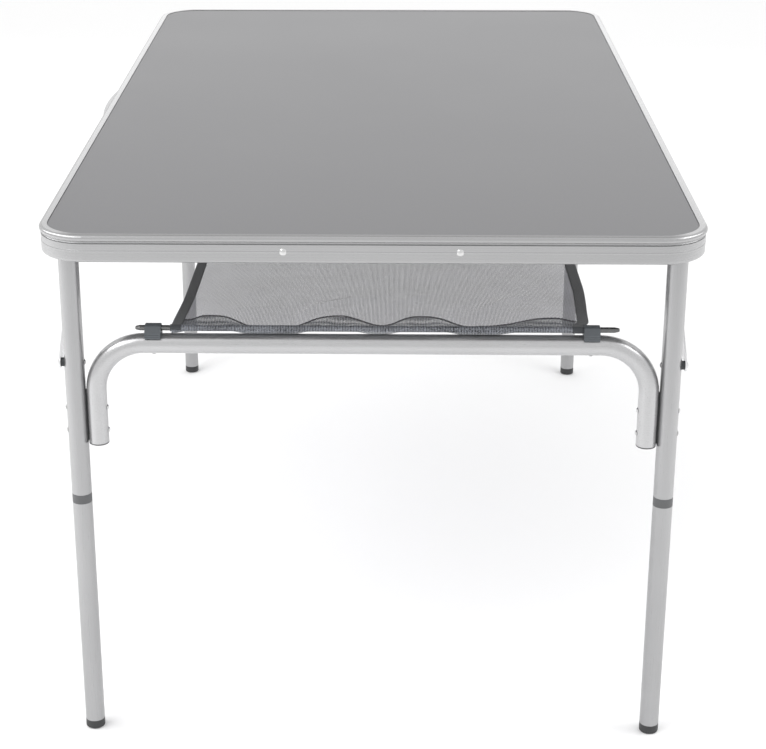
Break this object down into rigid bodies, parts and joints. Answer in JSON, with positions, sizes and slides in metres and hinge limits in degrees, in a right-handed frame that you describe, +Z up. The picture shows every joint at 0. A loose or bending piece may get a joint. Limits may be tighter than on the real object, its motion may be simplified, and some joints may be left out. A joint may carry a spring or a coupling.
{
  "type": "folding table",
  "caption": "Rectangular one-piece camping table with an aluminium edge, two inward-folding leg frames, plug-in lower legs, a net shelf and a pull-out handle.",
  "frame": {"origin": "on the floor, under the middle of the board", "axes": "+X to the right across the table, +Y along it from the front to the rear, +Z up"},
  "size_m": [0.8093, 1.4, 0.7],
  "materials": {
    "laminate": "smooth satin laminate on fibreboard, mid grey",
    "edge_aluminium": "satin silver anodised extrusion",
    "tube_aluminium": "satin silver anodised tube",
    "sheet_aluminium": "bright rolled sheet",
    "zinc_steel": "zinc plated pressing",
    "rivet_steel": "bright plated",
    "dark_plastic": "moulded, dark slate grey, fine matt texture",
    "grip_plastic": "moulded, light grey, satin",
    "net_fabric": "knitted polyester mesh, pale violet grey",
    "dark_rod": "dark grey satin coating"
  },
  "bodies": {
    "table_top": {"board_panel": "laminate", "edge_profile": "edge_aluminium", "profile_joint_plate": "sheet_aluminium", "support_rail_left": "sheet_aluminium", "support_rail_right": "sheet_aluminium", "rail_end_brackets": "sheet_aluminium", "end_rivets": "rivet_steel", "hinge_brackets": "zinc_steel", "hinge_pins": "rivet_steel", "stay_mounts": "dark_plastic", "side_rivets": "rivet_steel", "handle_guides": "dark_plastic"},
    "handle": {"handle_grip": "grip_plastic"},
    "front_leg_frame": {"front_left_leg": "tube_aluminium", "front_right_leg": "tube_aluminium", "front_cross_tube": "tube_aluminium", "front_spacer_strips": "dark_plastic", "front_tube_plugs": "dark_plastic", "front_frame_rivets": "rivet_steel", "front_rod_clips": "dark_plastic", "front_net_rod": "dark_rod", "front_net": "net_fabric", "front_stay_spacers": "dark_plastic", "front_stay_pivots": "rivet_steel"},
    "front_left_extension": {"front_left_lower_leg": "tube_aluminium", "front_left_collar": "dark_plastic", "front_left_foot": "dark_plastic"},
    "front_left_stay_lower": {"front_left_lower_link": "sheet_aluminium"},
    "front_left_stay_upper": {"front_left_upper_link": "sheet_aluminium", "front_left_knee_rivet": "rivet_steel"},
    "front_right_extension": {"front_right_lower_leg": "tube_aluminium", "front_right_collar": "dark_plastic", "front_right_foot": "dark_plastic"},
    "front_right_stay_lower": {"front_right_lower_link": "sheet_aluminium"},
    "front_right_stay_upper": {"front_right_upper_link": "sheet_aluminium", "front_right_knee_rivet": "rivet_steel"},
    "rear_leg_frame": {"rear_left_leg": "tube_aluminium", "rear_right_leg": "tube_aluminium", "rear_cross_tube": "tube_aluminium", "rear_spacer_strips": "dark_plastic", "rear_tube_plugs": "dark_plastic", "rear_frame_rivets": "rivet_steel", "rear_rod_clips": "dark_plastic", "rear_net_rod": "dark_rod", "rear_net": "net_fabric", "rear_stay_spacers": "dark_plastic", "rear_stay_pivots": "rivet_steel"},
    "rear_left_extension": {"rear_left_lower_leg": "tube_aluminium", "rear_left_collar": "dark_plastic", "rear_left_foot": "dark_plastic"},
    "rear_left_stay_lower": {"rear_left_lower_link": "sheet_aluminium"},
    "rear_left_stay_upper": {"rear_left_upper_link": "sheet_aluminium", "rear_left_knee_rivet": "rivet_steel"},
    "rear_right_extension": {"rear_right_lower_leg": "tube_aluminium", "rear_right_collar": "dark_plastic", "rear_right_foot": "dark_plastic"},
    "rear_right_stay_lower": {"rear_right_lower_link": "sheet_aluminium"},
    "rear_right_stay_upper": {"rear_right_upper_link": "sheet_aluminium", "rear_right_knee_rivet": "rivet_steel"}
  },
  "joints": [
    {"name": "front_fold", "type": "hinge", "parent": "table_top", "child": "front_leg_frame", "pos_m": [0, -0.642, 0.672], "axis": [1, 0, 0], "range_deg": [0, 90], "deforming": ["front_net"]},
    {"name": "front_left_stay_leg_pivot", "type": "hinge", "parent": "front_leg_frame", "child": "front_left_stay_lower", "pos_m": [-0.3847, -0.642, 0.519], "axis": [1, 0, 0], "range_deg": [-128.21, 0]},
    {"name": "front_left_stay_rim_pivot", "type": "hinge", "parent": "table_top", "child": "front_left_stay_upper", "pos_m": [-0.3873, -0.442, 0.674], "axis": [1, 0, 0], "range_deg": [0, 140.98]},
    {"name": "front_left_extension_slide", "type": "slide", "parent": "front_leg_frame", "child": "front_left_extension", "axis": [0, 0, -1], "range_m": [0, 0.06]},
    {"name": "front_right_stay_leg_pivot", "type": "hinge", "parent": "front_leg_frame", "child": "front_right_stay_lower", "pos_m": [0.3847, -0.642, 0.519], "axis": [1, 0, 0], "range_deg": [-128.21, 0]},
    {"name": "front_right_stay_rim_pivot", "type": "hinge", "parent": "table_top", "child": "front_right_stay_upper", "pos_m": [0.3873, -0.442, 0.674], "axis": [1, 0, 0], "range_deg": [0, 140.98]},
    {"name": "front_right_extension_slide", "type": "slide", "parent": "front_leg_frame", "child": "front_right_extension", "axis": [0, 0, -1], "range_m": [0, 0.06]},
    {"name": "rear_fold", "type": "hinge", "parent": "table_top", "child": "rear_leg_frame", "pos_m": [0, 0.642, 0.672], "axis": [-1, 0, 0], "range_deg": [0, 86.5], "deforming": ["rear_net"]},
    {"name": "rear_left_stay_leg_pivot", "type": "hinge", "parent": "rear_leg_frame", "child": "rear_left_stay_lower", "pos_m": [-0.3847, 0.642, 0.519], "axis": [-1, 0, 0], "range_deg": [-123.36, 0]},
    {"name": "rear_left_stay_rim_pivot", "type": "hinge", "parent": "table_top", "child": "rear_left_stay_upper", "pos_m": [-0.3873, 0.442, 0.674], "axis": [-1, 0, 0], "range_deg": [0, 137.73]},
    {"name": "rear_left_extension_slide", "type": "slide", "parent": "rear_leg_frame", "child": "rear_left_extension", "axis": [0, 0, -1], "range_m": [0, 0.06]},
    {"name": "rear_right_stay_leg_pivot", "type": "hinge", "parent": "rear_leg_frame", "child": "rear_right_stay_lower", "pos_m": [0.3847, 0.642, 0.519], "axis": [-1, 0, 0], "range_deg": [-123.36, 0]},
    {"name": "rear_right_stay_rim_pivot", "type": "hinge", "parent": "table_top", "child": "rear_right_stay_upper", "pos_m": [0.3873, 0.442, 0.674], "axis": [-1, 0, 0], "range_deg": [0, 137.73]},
    {"name": "rear_right_extension_slide", "type": "slide", "parent": "rear_leg_frame", "child": "rear_right_extension", "axis": [0, 0, -1], "range_m": [0, 0.06]},
    {"name": "handle_pull", "type": "slide", "parent": "table_top", "child": "handle", "axis": [-1, 0, 0], "range_m": [0, 0.032]}
  ],
  "couplings": [
    {"joint": "front_left_stay_leg_pivot", "follows": "front_fold", "ratio": -1.4223},
    {"joint": "front_left_stay_rim_pivot", "follows": "front_fold", "ratio": 1.5642},
    {"joint": "front_right_stay_leg_pivot", "follows": "front_fold", "ratio": -1.4223},
    {"joint": "front_right_stay_rim_pivot", "follows": "front_fold", "ratio": 1.5642},
    {"joint": "rear_left_stay_leg_pivot", "follows": "rear_fold", "ratio": -1.4239},
    {"joint": "rear_left_stay_rim_pivot", "follows": "rear_fold", "ratio": 1.59},
    {"joint": "rear_right_stay_leg_pivot", "follows": "rear_fold", "ratio": -1.4239},
    {"joint": "rear_right_stay_rim_pivot", "follows": "rear_fold", "ratio": 1.59}
  ]
}
